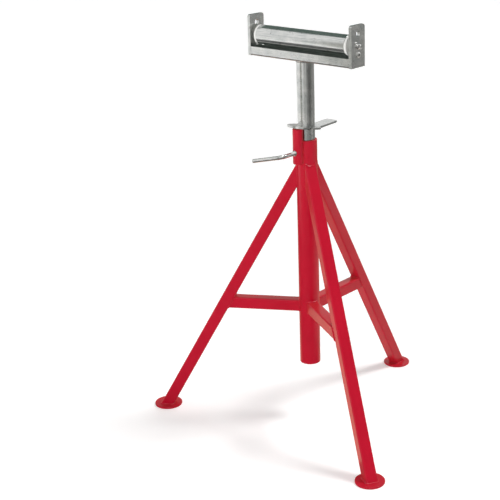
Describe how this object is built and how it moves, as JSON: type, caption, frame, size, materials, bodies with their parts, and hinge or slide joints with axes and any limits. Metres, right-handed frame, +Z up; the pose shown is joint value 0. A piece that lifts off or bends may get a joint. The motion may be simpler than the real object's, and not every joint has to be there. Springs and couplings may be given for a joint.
{
  "type": "roller stand",
  "caption": "Adjustable three-legged roller stand: a sliding post with a tilting lock plate and a clamp screw carries a free-running roller between upright end plates.",
  "frame": {"origin": "on the floor, at the middle of the rectangle round the three feet", "axes": "+Z up along the column; X along the roller; -Y towards the clamp handle, +Y towards the single rear leg"},
  "size_m": [0.7212, 0.634, 1.0055],
  "materials": {
    "red_paint": "gloss red enamel on welded steel tube",
    "zinc_plate": "bright zinc plating with light scuffs",
    "bright_steel": "turned steel",
    "white_plastic": "moulded white plastic",
    "black_plastic": "moulded black plastic"
  },
  "bodies": {
    "base": {"column_tube": "red_paint", "fulcrum_boss": "red_paint", "leg_front_left": "red_paint", "leg_front_right": "red_paint", "leg_rear": "red_paint", "brace_front_left": "red_paint", "brace_front_right": "red_paint", "brace_rear": "red_paint", "foot_disc_front_left": "red_paint", "foot_disc_front_right": "red_paint", "foot_disc_rear": "red_paint"},
    "post_slider": {"post_end_plug": "black_plastic"},
    "post_head": {"post_tube": "zinc_plate", "head_channel": "zinc_plate", "end_plate_left": "zinc_plate", "end_plate_right": "zinc_plate", "axle": "bright_steel", "split_pin_left": "bright_steel", "split_pin_right": "bright_steel", "inner_race_left": "bright_steel", "inner_race_right": "bright_steel"},
    "roller": {"roller_shell": "zinc_plate", "end_cap_left": "white_plastic", "end_cap_right": "white_plastic", "outer_race_left": "bright_steel", "outer_race_right": "bright_steel"},
    "ball_cage_left": {"ball_cage_left": "bright_steel"},
    "ball_cage_right": {"ball_cage_right": "bright_steel"},
    "lock_plate": {"lock_plate": "zinc_plate"},
    "clamp_handle": {"clamp_handle": "zinc_plate"}
  },
  "joints": [
    {"name": "post_slide", "type": "slide", "parent": "base", "child": "post_slider", "axis": [0, 0, 1], "range_m": [-0.13, 0.32]},
    {"name": "post_swivel", "type": "hinge", "parent": "post_slider", "child": "post_head", "pos_m": [0, -0.094, 0.6], "axis": [0, 0, 1], "continuous": true},
    {"name": "roller_spin", "type": "hinge", "parent": "post_head", "child": "roller", "pos_m": [0, -0.094, 0.9565], "axis": [1, 0, 0], "continuous": true},
    {"name": "ball_cage_left_spin", "type": "hinge", "parent": "post_head", "child": "ball_cage_left", "pos_m": [-0.123, -0.094, 0.9565], "axis": [1, 0, 0], "continuous": true},
    {"name": "ball_cage_right_spin", "type": "hinge", "parent": "post_head", "child": "ball_cage_right", "pos_m": [0.123, -0.094, 0.9565], "axis": [1, 0, 0], "continuous": true},
    {"name": "lock_plate_tilt", "type": "hinge", "parent": "base", "child": "lock_plate", "pos_m": [0, -0.11793, 0.7513], "axis": [1, 0, 0], "range_deg": [0, 10.3]},
    {"name": "clamp_turn", "type": "hinge", "parent": "base", "child": "clamp_handle", "pos_m": [0, -0.1387, 0.6935], "axis": [0, -1, 0], "range_deg": [0, 180]}
  ],
  "couplings": [
    {"joint": "ball_cage_left_spin", "follows": "roller_spin", "ratio": 0.6125},
    {"joint": "ball_cage_right_spin", "follows": "roller_spin", "ratio": 0.6125}
  ]
}
